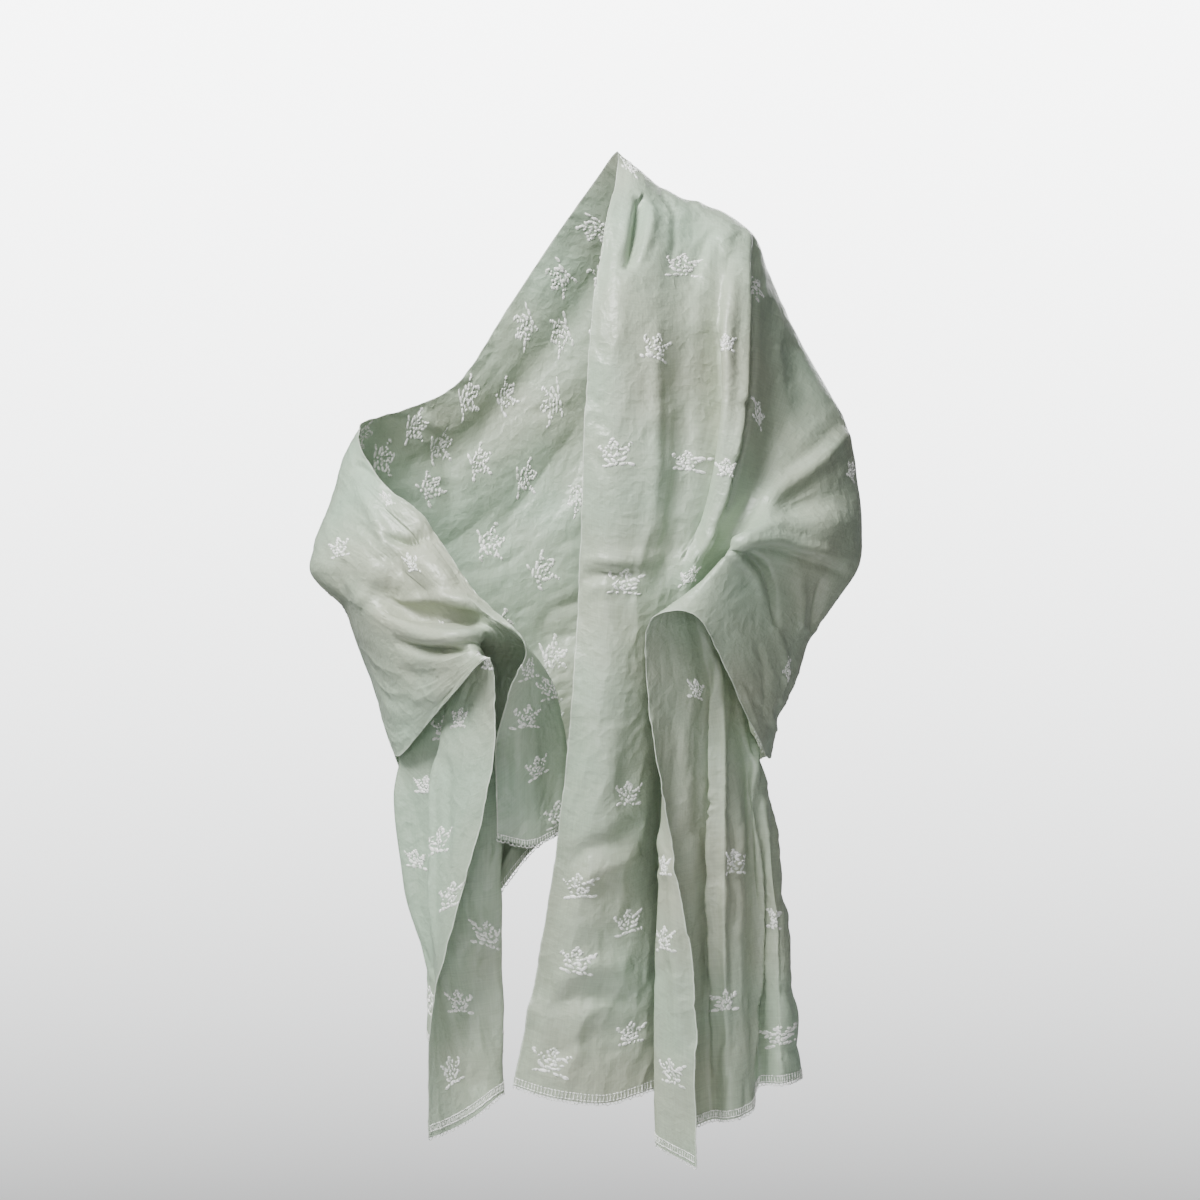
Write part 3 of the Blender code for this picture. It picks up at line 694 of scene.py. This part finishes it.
# Embroidered sprigs: section, mm across, degrees turned and size of each that shows in front, then the
# half-drop of the others in mm. On the front strip, up to strip's section and from its mm, all are listed.
sprigs = {
    "shown": (
        (7.92, 30, 0, 0.9), (7.28, 138, 0, 1), (7.36, 232, -30, 0.9), (6.52, 112, 0, 1),
        (6.56, 184, 0, 0.6), (6.16, 256, 0, 0.8), (5.36, 58, 0, 1), (5.28, 150, 0, 0.75),
        (5.28, 205, 0, 0.6), (7.68, 398, 40, 0.7), (4.04, 84, 0, 1), (4, 214, 0, 0.7),
        (3.08, 686, 0, 0.8), (7.36, 692, 0, 0.7), (2.32, 106, 0, 0.9), (1.56, 46, 0, 1),
        (1.28, 118, 0, 1), (0.96, 56, 0, 1), (0.24, 40, 0, 1), (0.44, 128, 0, 0.9), (1.76, 812, 0, 0.7),
        (1.76, 558, 0, 1), (1.12, 800, 0, 0.9), (1.28, 452, 0, 0.8), (0.72, 600, 0, 0.9),
        (0.4, 810, 0, 1), (0.36, 452, 0, 0.8), (15.2, 44, 50, 0.7), (12.52, 174, 40, 0.9),
        (14.6, 280, 60, 0.9), (15.96, 180, 50, 0.9), (16.76, 396, 60, 0.6), (19.32, 764, 0, 0.8),
        (20.04, 494, 0, 0.7), (20.68, 474, 0, 0.7), (21.08, 632, 0, 1), (21.88, 682, 0, 0.9),
        (22.52, 750, 0, 1), (20.56, 66, 0, 0.9),
    ),
    "every": 118.0,
    "firstAlong": 55,
    "lastAlong": 30,
    "across": (46, 830),
    "clearOfShown": 74.0,
    "facingBack": 0.12,
    "strip": (4.4, 440),
    "turning": 7,
    "sizes": (0.9, 1.08),
    "size": 0.92,
}


# One sprig, each row a stitch: mm right, mm up, degrees from level, length and width in mm.
def sprigStitches():
    base = [
        (-15.5, -13.6, 5, 8.5, 2.4), (-6.8, -13.2, -5, 9.0, 3.0), (1.2, -12.2, 24, 4.0, 2.2),
        (7.2, -12.6, -12, 6.4, 2.8), (12.8, -13.0, -32, 3.8, 2.0), (17.6, -13.8, 3, 6.6, 2.8),
    ]
    bowl = [
        (-9.4, -6.6, -36, 8.6, 2.6), (-2.4, -8.6, -22, 7.4, 2.6), (4.8, -8.0, 14, 6.4, 2.6),
        (10.4, -6.4, 30, 6.6, 2.6), (-12.4, -2.2, 28, 5.8, 2.2), (-6.0, -1.4, -34, 5.4, 2.6),
        (0.2, -3.6, 52, 5.0, 2.4), (5.4, -2.4, -22, 5.8, 2.6), (11.4, -1.4, 16, 5.4, 2.2),
        (-2.6, 0.6, 12, 4.6, 2.2), (2.6, 0.9, -16, 4.6, 2.2), (-9.4, 2.0, 62, 4.4, 2.0),
    ]
    arms = [
        (-14.0, 2.6, -28, 5.6, 2.4), (-17.8, 5.4, -44, 4.8, 2.4), (-20.0, 8.6, 40, 5.4, 2.8),
        (-11.4, 6.0, 18, 4.6, 2.2), (8.6, 3.4, 12, 5.2, 2.4), (12.6, 5.4, -14, 6.0, 2.6),
        (16.8, 7.6, 10, 6.0, 3.0), (20.8, 9.8, 34, 5.2, 2.4), (15.6, 2.4, -36, 4.0, 2.0),
    ]
    crown = [
        (-3.4, 4.6, 58, 5.0, 2.2), (3.0, 4.8, -60, 5.0, 2.2), (-5.4, 8.8, -48, 5.0, 2.4),
        (5.0, 9.0, 46, 5.0, 2.4), (-2.4, 12.2, 34, 5.0, 2.4), (2.8, 12.0, -32, 5.0, 2.4),
        (0.2, 15.0, 4, 5.0, 2.4), (0.3, 8.2, 80, 4.4, 2.2),
    ]
    return np.array(base + bowl + arms + crown, float) * (sprigs["size"], sprigs["size"], 1, 1, 1)


# Where the sprigs go: those that show, then a half-drop lattice over the cloth that is turned backwards.
def sprigPlaces(along):
    shown = np.array(sprigs["shown"], float)
    rows, columns = rowAt(shown[:, 0]), columnAt(shown[:, 1])
    shownMm = np.stack([sample(along, rows, columns), shown[:, 1]], -1)
    every = sprigs["every"]
    middle = along[:, along.shape[1] // 2]
    grid = []
    for k, mm in enumerate(np.arange(*sprigs["across"], every / 2)):
        first = sprigs["firstAlong"] + (every / 2) * (k % 2)
        downwards = np.arange(first, middle[-1] - sprigs["lastAlong"], every)
        grid.append(np.stack([downwards, np.full(len(downwards), mm)], -1))
    lattice = np.concatenate(grid)
    latticeRows = np.interp(lattice[:, 0], middle, np.arange(len(middle)))
    latticeColumns = columnAt(lattice[:, 1])
    trueMm = np.stack([sample(along, latticeRows, latticeColumns), lattice[:, 1]], -1)
    away = np.linalg.norm(trueMm[:, None] - shownMm[None], axis=-1).min(axis=1)
    turnedBack = sample(outward(base)[..., 1], latticeRows, latticeColumns) > sprigs["facingBack"]
    onStrip = (latticeRows < rowAt(sprigs["strip"][0])) & (lattice[:, 1] > sprigs["strip"][1])
    keep = (away > sprigs["clearOfShown"]) & turnedBack & ~onStrip
    random = np.random.default_rng(25)
    turned = np.concatenate([shown[:, 2], np.zeros(keep.sum())])
    turned = turned + random.normal(0, sprigs["turning"], len(turned))
    sized = np.concatenate([shown[:, 3], np.ones(keep.sum())])
    sized = sized * random.uniform(*sprigs["sizes"], len(turned))
    rows = np.concatenate([rows, latticeRows[keep]])
    columns = np.concatenate([columns, latticeColumns[keep]])
    return rows, columns, turned, sized


# The stitches pull the cloth: small uneven dimples inside a disc round each sprig.
def sprigHeights(along, across, rows, columns):
    total = np.zeros(along.shape)
    dimple = softNoise(21, 8, 8, along, across)
    rowReach, columnReach = 9, 14
    for r, c in zip(rows, columns):
        r0, r1 = max(0, int(r) - rowReach), int(r) + rowReach + 1
        c0, c1 = max(0, int(c) - columnReach), int(c) + columnReach + 1
        a = along[r0:r1, c0:c1] - sample(along, np.array([r]), np.array([c]))
        b = across[r0:r1, c0:c1] - sample(across, np.array([r]), np.array([c]))
        total[r0:r1, c0:c1] += np.exp(-((a * a + b * b) / crumple["sprigReach"] ** 2) ** 1.5)
    return crumple["sprigPucker"] / 1000 * dimple * np.clip(total, 0, 1)


sprigRows, sprigColumns, sprigTurns, sprigSizes = sprigPlaces(alongMm)
heights = creaseHeights(base, creases)
heights = heights + crumpleHeights(alongMm, acrossMm)
heights = heights + sprigHeights(alongMm, acrossMm, sprigRows, sprigColumns)
surface = base + outward(base) * heights[..., None]
facing = outward(surface)
print("creases and crumpling laid in,", len(sprigRows), "sprigs placed")

silkLook = {
    "lit": (0.372, 0.488, 0.368),
    "greyed": (0.395, 0.428, 0.325),
    "toneScale": 5.0,
    "toneRamp": (0.32, 0.68),
    "edge": (0.58, 0.64, 0.54),
    "edgeWide": 0.0014,
    # slub noise per metre along and across its streaks; the shade is slub by the first plus the second
    "slubScales": (22, 620),
    "slubShade": (0.30, 0.70),
    # each bump: distance in metres, then strength
    "weaveBump": (0.0004, 0.16),
    "crumpleBump": (0.0022, 0.75),
    "crumpleScale": 52.0,
    "roughness": 0.40,
    "glossScale": 30.0,
    "glossChange": 0.16,
    "specular": 0.62,
    "sheen": 0.06,
    "sheenRoughness": 0.4,
    "sheenTint": (0.92, 1.0, 0.95),
}


# Bump over an earlier normal: distance in metres and strength, from a height socket.
def bumpNode(nodes, links, bump, height, normal=None):
    node = nodes.new("ShaderNodeBump")
    node.inputs["Distance"].default_value, node.inputs["Strength"].default_value = bump
    links.new(height, node.inputs["Height"])
    if normal:
        links.new(normal, node.inputs["Normal"])
    return node.outputs["Normal"]


# Two-colour ramp of a value, between the two positions.
def rampNode(nodes, links, value, positions, colours):
    node = nodes.new("ShaderNodeValToRGB")
    for element, position, colour in zip(node.color_ramp.elements, positions, colours):
        element.position = position
        element.color = (*colour, 1)
    links.new(value, node.inputs["Fac"])
    return node.outputs["Color"]


# Silk: slub streaks along and across the cut, a soft change of tone, fine crumple as bump, and a
# lighter selvedge where the mm across is within 1.4 of an edge. UV is metres across and along the cut.
def celadonSilk():
    material, nodes, links, shader = newMaterial("celadonSilk")
    cut = nodes.new("ShaderNodeUVMap")
    cut.uv_map = "cut"
    inSpace = nodes.new("ShaderNodeTexCoord").outputs["Object"]

    def noise(scale, stretch, detail, place=inSpace):
        turn = nodes.new("ShaderNodeMapping")
        turn.inputs["Scale"].default_value = stretch
        texture = nodes.new("ShaderNodeTexNoise")
        texture.inputs["Scale"].default_value = scale
        texture.inputs["Detail"].default_value = detail
        links.new(place, turn.inputs["Vector"])
        links.new(turn.outputs["Vector"], texture.inputs["Vector"])
        return texture.outputs["Fac"]

    def mathNode(operation, *values):
        node = nodes.new("ShaderNodeMath")
        node.operation = operation
        for socket, value in zip(node.inputs, values):
            if isinstance(value, (int, float)):
                socket.default_value = value
            else:
                links.new(value, socket)
        return node.outputs[0]

    def mixColour(factor, a, b, blend="MIX"):
        node = nodes.new("ShaderNodeMix")
        node.data_type = "RGBA"
        node.blend_type = blend
        for name, value in (("Factor", factor), ("A", a), ("B", b)):
            if isinstance(value, tuple):
                node.inputs[name].default_value = (*value, 1)
            elif isinstance(value, float):
                node.inputs[name].default_value = value
            else:
                links.new(value, node.inputs[name])
        return node.outputs["Result"]

    # tone: a broad noise between the two greens; slub: two noises drawn out across each other
    colours = silkLook["greyed"], silkLook["lit"]
    broad = noise(silkLook["toneScale"], (1, 1, 1), 3.0)
    tone = rampNode(nodes, links, broad, silkLook["toneRamp"], colours)
    few, many = silkLook["slubScales"]
    slubAcross = noise(1.0, (few, many, 1), 2.0, cut.outputs["UV"])
    slubAlong = noise(1.0, (many, few, 1), 2.0, cut.outputs["UV"])
    slub = mathNode("ADD", slubAcross, slubAlong)
    shade = mathNode("MULTIPLY_ADD", slub, *silkLook["slubShade"])
    streaked = mixColour(1.0, tone, shade, "MULTIPLY")

    split = nodes.new("ShaderNodeSeparateXYZ")
    links.new(cut.outputs["UV"], split.inputs[0])
    fromFar = mathNode("SUBTRACT", cloth["wide"] / 1000, split.outputs["X"])
    nearEdge = mathNode("MINIMUM", split.outputs["X"], fromFar)
    isEdge = mathNode("LESS_THAN", nearEdge, silkLook["edgeWide"])
    links.new(mixColour(isEdge, streaked, silkLook["edge"]), shader.inputs["Base Color"])

    # crumple: ridges where the noise passes its middle
    weave = bumpNode(nodes, links, silkLook["weaveBump"], slub)
    small = noise(silkLook["crumpleScale"], (1, 1, 1), 3.0)
    crest = mathNode("ABSOLUTE", mathNode("SUBTRACT", small, 0.5))
    ridges = mathNode("MULTIPLY", crest, -2.0)
    creased = bumpNode(nodes, links, silkLook["crumpleBump"], ridges, weave)
    links.new(creased, shader.inputs["Normal"])

    change = silkLook["glossChange"]
    worn = noise(silkLook["glossScale"], (1, 1, 1), 2.0)
    gloss = mathNode("MULTIPLY_ADD", worn, change, silkLook["roughness"] - change / 2)
    links.new(gloss, shader.inputs["Roughness"])
    shader.inputs["Sheen Weight"].default_value = silkLook["sheen"]
    shader.inputs["Sheen Roughness"].default_value = silkLook["sheenRoughness"]
    shader.inputs["Sheen Tint"].default_value = (*silkLook["sheenTint"], 1)
    shader.inputs["Specular IOR Level"].default_value = silkLook["specular"]
    return material


threadLook = {
    "colour": (1.0, 1.0, 0.97),
    # the darker green-grey is painted shade on the stitches, set in spots by the noise against the thread's
    # white
    "paintedShade": (0.56, 0.61, 0.53),
    "ramp": (0.34, 0.54),
    "strandScale": 260.0,
    "strandBump": (0.0003, 0.5),
    "roughness": 0.22,
    "sheen": 0.1,
}


# Ivory thread: a fine noise over the object as bump and as painted highlight and painted shade, a little
# glossier than the silk.
def ivoryThread():
    material, nodes, links, shader = newMaterial("ivoryThread")
    place = nodes.new("ShaderNodeTexCoord")
    texture = nodes.new("ShaderNodeTexNoise")
    texture.inputs["Scale"].default_value = threadLook["strandScale"]
    texture.inputs["Detail"].default_value = 2.0
    links.new(place.outputs["Object"], texture.inputs["Vector"])
    strandsAndPaintedSheen = texture.outputs["Fac"]
    # painted highlight and painted shade: the noise sets the thread's colour between the darker green-grey
    # and the white, standing in for stitches turned from or towards the light
    colours = threadLook["paintedShade"], threadLook["colour"]
    tone = rampNode(nodes, links, strandsAndPaintedSheen, threadLook["ramp"], colours)
    links.new(tone, shader.inputs["Base Color"])
    bump = bumpNode(nodes, links, threadLook["strandBump"], strandsAndPaintedSheen)
    links.new(bump, shader.inputs["Normal"])
    shader.inputs["Roughness"].default_value = threadLook["roughness"]
    shader.inputs["Sheen Weight"].default_value = threadLook["sheen"]
    return material


silk = celadonSilk()
thread = ivoryThread()
print("materials made")

# Each stretch: its name, first and last section, first and last mm across, and which edges are open
# (row start, row end, column start, column end).
stretches = (
    ("front_fall", 0, 8, 0, 220, (0, 0, 1, 0)),
    ("left_pleats", 0, 4, 220, 640, (0, 0, 0, 0)),
    ("left_front_edge", 0, 4, 640, 850, (0, 0, 0, 1)),
    ("left_sleeve", 4, 8, 220, 850, (0, 0, 0, 1)),
    ("back_drape", 8, 13, 0, 850, (0, 0, 1, 1)),
    ("right_sleeve", 13, 18, 0, 850, (0, 0, 1, 1)),
    ("right_inner_tail", 18, 23, 0, 185, (0, 0, 1, 0)),
    ("right_back_tail", 18, 23, 185, 560, (0, 0, 0, 0)),
    ("right_front_tail", 18, 23, 560, 850, (0, 0, 0, 1)),
)


# A wall about a patch of the surface: outer face, inner face, and a rim whose middle line stands out by
# half the thickness where the edge is open, so that a free edge is rounded.
def wallPiece(name, middle, normals, uv, thickness, openEdges, material):
    rows, columns = middle.shape[:2]
    half = thickness / 2
    outer, inner = middle + normals * half, middle - normals * half
    index = np.arange(rows * columns).reshape(rows, columns)
    rim = np.concatenate([index[0, :-1], index[:-1, -1], index[-1, :0:-1], index[:0:-1, 0]])
    sideways = np.concatenate(
        [
            (middle[0] - middle[1])[:-1] * openEdges[0],
            (middle[:, -1] - middle[:, -2])[:-1] * openEdges[3],
            (middle[-1] - middle[-2])[:0:-1] * openEdges[1],
            (middle[:, 0] - middle[:, 1])[:0:-1] * openEdges[2],
        ]
    )
    size = np.linalg.norm(sideways, axis=-1, keepdims=True)
    sideways = sideways / np.maximum(size, 1e-9)
    rimPoints = middle.reshape(-1, 3)[rim] + sideways * half
    count = rows * columns
    edge = np.arange(len(rim)) + 2 * count
    ahead, edgeAhead = np.roll(rim, -1), np.roll(edge, -1)
    quads = gridFaces(rows, columns)
    faces = np.concatenate(
        [
            quads,
            quads[:, [0, 3, 2, 1]] + count,
            np.stack([ahead, rim, edge, edgeAhead], -1),
            np.stack([edgeAhead, edge, rim + count, ahead + count], -1),
        ]
    )
    away = normals.reshape(-1, 3)
    rimAway = np.where(size > 0, sideways, away[rim])
    points = np.concatenate([outer.reshape(-1, 3), inner.reshape(-1, 3), rimPoints])
    directions = np.concatenate([away, -away, rimAway])
    uv = uv.reshape(-1, 2)
    return meshObject(name, points, faces, material, directions, np.concatenate([uv, uv, uv[rim]]))


# Stitches: metres raised, shares of the tables' lengths and widths, how far the ends narrow, the least
# mm that a grid row and column count for, and the section up to which a stretch hangs downwards.
stitch = {
    "raised": 0.0010,
    "lengthShare": 0.70,
    "widthShare": 0.88,
    "narrowing": 0.9,
    "leastRow": 2.5,
    "leastColumn": 1.4,
    "skippedLength": 0.4,
    "downTo": 11.2,
    "sprigUneven": (0.6, 0.5, 12, 0.8, 0.3),
    "sprigSkipped": 0.14,
}


# Stitches as closed lenses: three rings between two points, carried on the surface by its own rows
# and columns, so that each follows the folds; raised on both faces of the cloth.
def stitchPiece(name, rows, columns, stitches, unevenness, turned=0.0, sized=1.0, skipped=0.0):
    up = np.where(rows < rowAt(stitch["downTo"]), 1.0, -1.0)
    rowStep = sample(surface, rows + 1, columns) - sample(surface, rows - 1, columns)
    columnStep = sample(surface, rows, columns + 1) - sample(surface, rows, columns - 1)
    rowSize = np.maximum(1000 * np.linalg.norm(rowStep, axis=-1) / 2, stitch["leastRow"])
    columnSize = np.maximum(1000 * np.linalg.norm(columnStep, axis=-1) / 2, stitch["leastColumn"])
    random = np.random.default_rng(31)
    varied = stitches[None] + random.normal(0, 1, (len(rows), len(stitches), 5)) * unevenness
    varied[..., 3] *= np.where(random.random(varied.shape[:2]) < skipped, stitch["skippedLength"], 1.0)
    varied[..., [0, 1, 3]] *= np.reshape(sized, (-1, 1, 1))
    angle = np.radians(varied[..., 2])
    whole = np.radians(np.reshape(turned, (-1, 1, 1)))
    ringCount, around = 3, 6
    reach = np.linspace(-0.5, 0.5, ringCount)
    turn = np.linspace(0, 2 * np.pi, around + 1)[:-1]
    wide = 1 - stitch["narrowing"] * reach**2
    halfLength = varied[..., 3] * stitch["lengthShare"]
    halfWidth = varied[..., 4] * stitch["widthShare"]
    ahead = halfLength[..., None, None] * reach[:, None] + 0 * turn
    aside = halfWidth[..., None, None] * wide[:, None] * np.cos(turn)
    height = cloth["thickness"] / 2 + stitch["raised"]
    lift = height * wide[:, None] * np.sin(turn) + 0 * ahead
    tips = halfLength[..., None] * np.array([-1.0, 1.0])
    ahead, aside, lift = (
        np.concatenate([values.reshape(*values.shape[:2], -1), ends], -1)
        for values, ends in ((ahead, tips), (aside, 0 * tips), (lift, 0 * tips))
    )
    c, s = np.cos(angle)[..., None], np.sin(angle)[..., None]
    right = varied[..., 0, None] + ahead * c - aside * s
    over = varied[..., 1, None] + ahead * s + aside * c
    x = right * np.cos(whole) - over * np.sin(whole)
    y = right * np.sin(whole) + over * np.cos(whole)
    atRow = rows[:, None, None] + up[:, None, None] * y / rowSize[:, None, None]
    atColumn = columns[:, None, None] + x / columnSize[:, None, None]
    points = sample(surface, atRow, atColumn) + sample(facing, atRow, atColumn) * lift[..., None]
    # triangles of the rings, then a fan to the tip at either end
    rings = ringFaces(ringCount, around)
    loop = np.arange(around)
    after, last, tip = np.roll(loop, -1), (ringCount - 1) * around, ringCount * around
    startFan = np.stack([np.full(around, tip), loop, after], -1)
    endFan = np.stack([np.full(around, tip + 1), last + after, last + loop], -1)
    triangles = np.concatenate([rings[:, [0, 1, 2]], rings[:, [0, 2, 3]], startFan, endFan])
    many = points.shape[0] * points.shape[1]
    faces = (triangles[None] + (tip + 2) * np.arange(many)[:, None, None]).reshape(-1, 3)
    return meshObject(name, points.reshape(-1, 3), faces, thread)


# Rows that a hem band takes: its breadth over the mean step from the edge row to the next.
def bandRows(edgeRow, nextRow):
    step = np.linalg.norm(surface[nextRow] - surface[edgeRow], axis=-1).mean()
    return max(2, int(round(cloth["hemBand"] / step)))


uvAll = np.stack([acrossMm / 1000, alongMm / 1000], -1)
lastOne = len(sections) - 1
seamRows = [0] + [int(round(rowAt(s))) for s in range(1, lastOne)] + [len(section) - 1]
hemRows, hemRowsRight = bandRows(0, 1), bandRows(-1, -2)
print("hem rows", hemRows, hemRowsRight)

for name, firstSection, lastSection, firstMm, lastMm, openEdges in stretches:
    r0, r1 = seamRows[firstSection], seamRows[lastSection]
    r0 = hemRows if firstSection == 0 else r0
    r1 = r1 - hemRowsRight if lastSection == lastOne else r1
    c0, c1 = int(round(columnAt(firstMm))), int(round(columnAt(lastMm)))
    patch = slice(r0, r1 + 1), slice(c0, c1 + 1)
    piece = wallPiece(
        name + "_silk", surface[patch], facing[patch], uvAll[patch], cloth["thickness"], openEdges, silk
    )
    # a sprig that begins in the left hem's rows goes with the stretch beside them
    inside = (sprigRows < r1) & (sprigColumns >= c0) & (sprigColumns < c1)
    inside &= (sprigRows >= r0) | (r0 == hemRows)
    if inside.any():
        stitched = stitchPiece(
            name + "_embroidery", sprigRows[inside], sprigColumns[inside], sprigStitches(),
            stitch["sprigUneven"], sprigTurns[inside], sprigSizes[inside], stitch["sprigSkipped"],
        )
        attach(stitched, "root")
    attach(piece, "root")
    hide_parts(name)

# Metres for the thickness and the picots' start, shares for picotArm and picotUneven, mm for the rest.
# The ladder's unevenness goes by the columns of its table, the third in degrees.
hem = {
    "thickness": 0.0012,
    "ladderFrom": 2.5,
    "ladderTo": 848,
    "ladderEvery": 3.9,
    "ladderUneven": (0.15, 0.12, 5, 0.2, 0.08),
    "picotEvery": 4.4,
    "picotArm": 0.46,
    "picotOut": 2.8,
    "picotThick": 0.5,
    "picotUneven": (0.75, 1.2),
    "picotStart": 0.0004,
}

# The hem's ladder, a group for each rung: mm along the hem, mm up, degrees, length and width in mm.
ladder = np.array([(0, 0, 88, 5.4, 0.8), (0, -3.3, 4, 3.5, 1.2), (0, 3.4, -3, 3.4, 1.0)])


# Picots: half loops of thread along a short end, a round profile carried on a half circle.
def picotRow(name, edge, outwardRun, normals):
    length = 1000 * np.concatenate([[0], np.cumsum(stepLengths(edge))])
    many = int(length[-1] / hem["picotEvery"])
    at = np.interp((np.arange(many) + 0.5) * length[-1] / many, length, np.arange(len(edge)))

    def placed(values):
        return np.stack([np.interp(at, np.arange(len(edge)), values[:, k]) for k in range(3)], -1)

    centre, out, up = (placed(values)[:, None, None] for values in (edge, outwardRun, normals))
    side = np.cross(out, up)
    arcs, sides = 7, 4
    bend = np.linspace(0, np.pi, arcs)[:, None, None]
    around = np.linspace(0, 2 * np.pi, sides + 1)[:-1, None]
    uneven = np.random.default_rng(41).uniform(*hem["picotUneven"], many)[:, None, None, None] / 1000
    arm = hem["picotEvery"] * hem["picotArm"]
    loopPoint = arm * np.cos(bend) * side + hem["picotOut"] * np.sin(bend) * out
    radial = np.cos(bend) * side + np.sin(bend) * out
    tube = hem["picotThick"] * (np.cos(around) * radial + np.sin(around) * up)
    points = centre + uneven * (loopPoint + tube)
    faces = (ringFaces(arcs, sides)[None] + arcs * sides * np.arange(many)[:, None, None]).reshape(-1, 4)
    return meshObject(name, points.reshape(-1, 3), faces, thread)


# Each short end: its name, the rows of its band, the edge row, the next row, and its open edges.
for name, rows, edgeRow, nextRow, openEdges in (
    ("left_hem_band", slice(0, hemRows + 1), 0, 1, (1, 0, 1, 1)),
    ("right_hem_band", slice(len(section) - 1 - hemRowsRight, len(section)), -1, -2, (0, 1, 1, 1)),
):
    band = wallPiece(
        name + "_silk", surface[rows], facing[rows], uvAll[rows], hem["thickness"], openEdges, silk
    )
    run = surface[edgeRow] - surface[nextRow]
    run = run / np.linalg.norm(run, axis=-1, keepdims=True)
    start = surface[edgeRow] + run * hem["picotStart"]
    picots = picotRow(name + "_picots", start, run, facing[edgeRow])
    rungMm = np.arange(hem["ladderFrom"], hem["ladderTo"], hem["ladderEvery"])
    rungRows = np.full(len(rungMm), (rows.start + rows.stop - 1) / 2)
    rungs = stitchPiece(name + "_ladder", rungRows, columnAt(rungMm), ladder, hem["ladderUneven"])
    for trim in (picots, rungs):
        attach(trim, "root")
    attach(band, "root")
    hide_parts(name)
print("hem bands and picots made")
